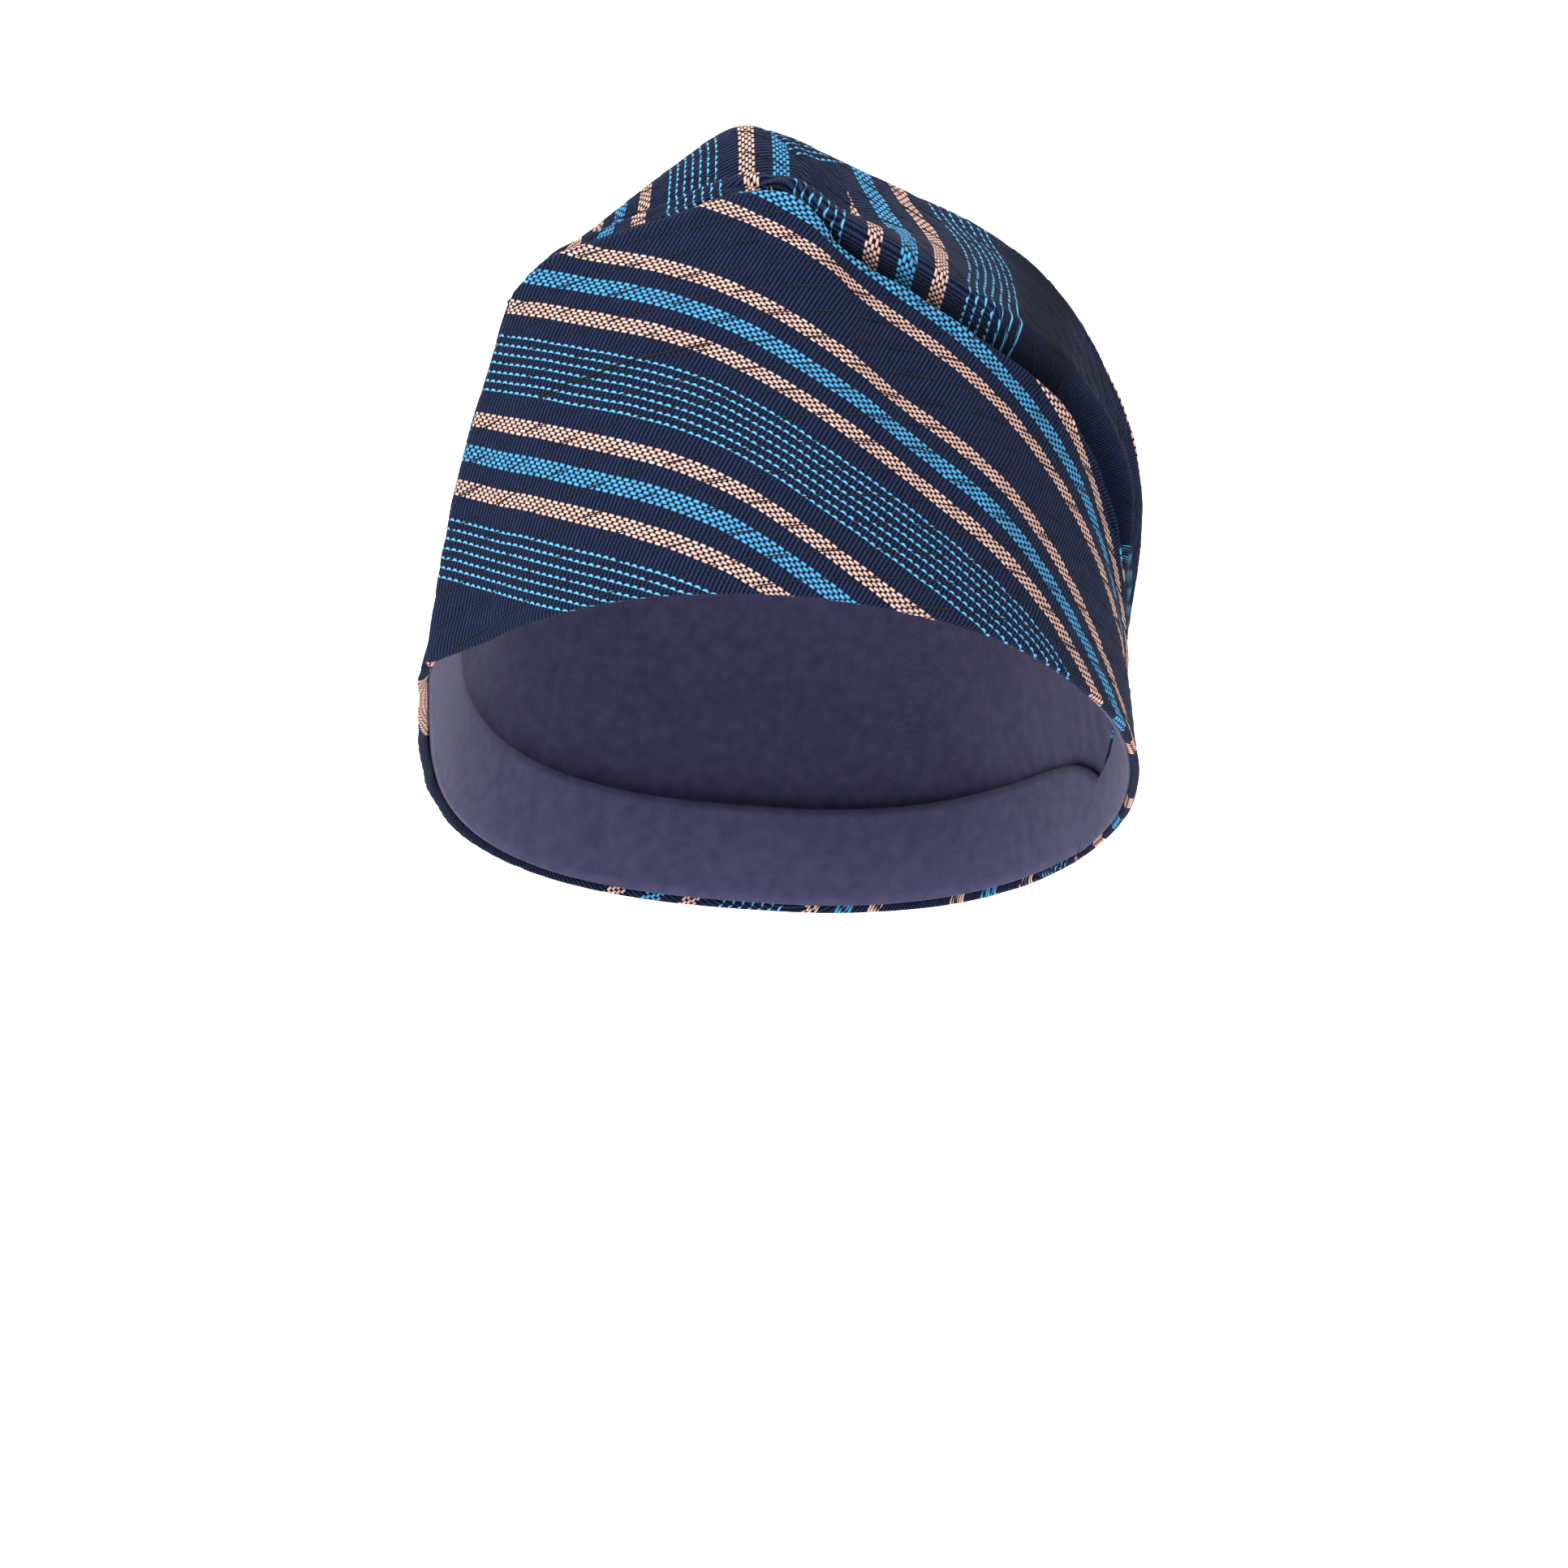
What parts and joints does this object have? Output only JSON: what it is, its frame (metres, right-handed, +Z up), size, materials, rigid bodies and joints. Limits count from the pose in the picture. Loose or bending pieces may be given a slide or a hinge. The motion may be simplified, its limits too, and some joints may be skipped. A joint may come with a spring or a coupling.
{
  "type": "soft woven fila cap",
  "caption": "Soft hand-woven striped cap as worn: high front panel, crown folded over to one side, side seams, plain lining band inside the hem.",
  "frame": {"origin": "middle of the head opening, on the plane of the hem", "axes": "+Z up as worn, -Y towards the wearer's front, +X towards the wearer's left; the hem plane is pitched 22.5 degrees, front high"},
  "size_m": [0.1725, 0.192, 0.1885],
  "materials": {
    "cloth": "thick ribbed hand-woven cotton, deep navy with salmon, sky blue and fine blue stripes",
    "lining": "plain blue-grey woven cotton"
  },
  "bodies": {
    "root": {"front_panel": "cloth", "back_panel": "cloth", "lining_band": "lining"}
  },
  "joints": []
}
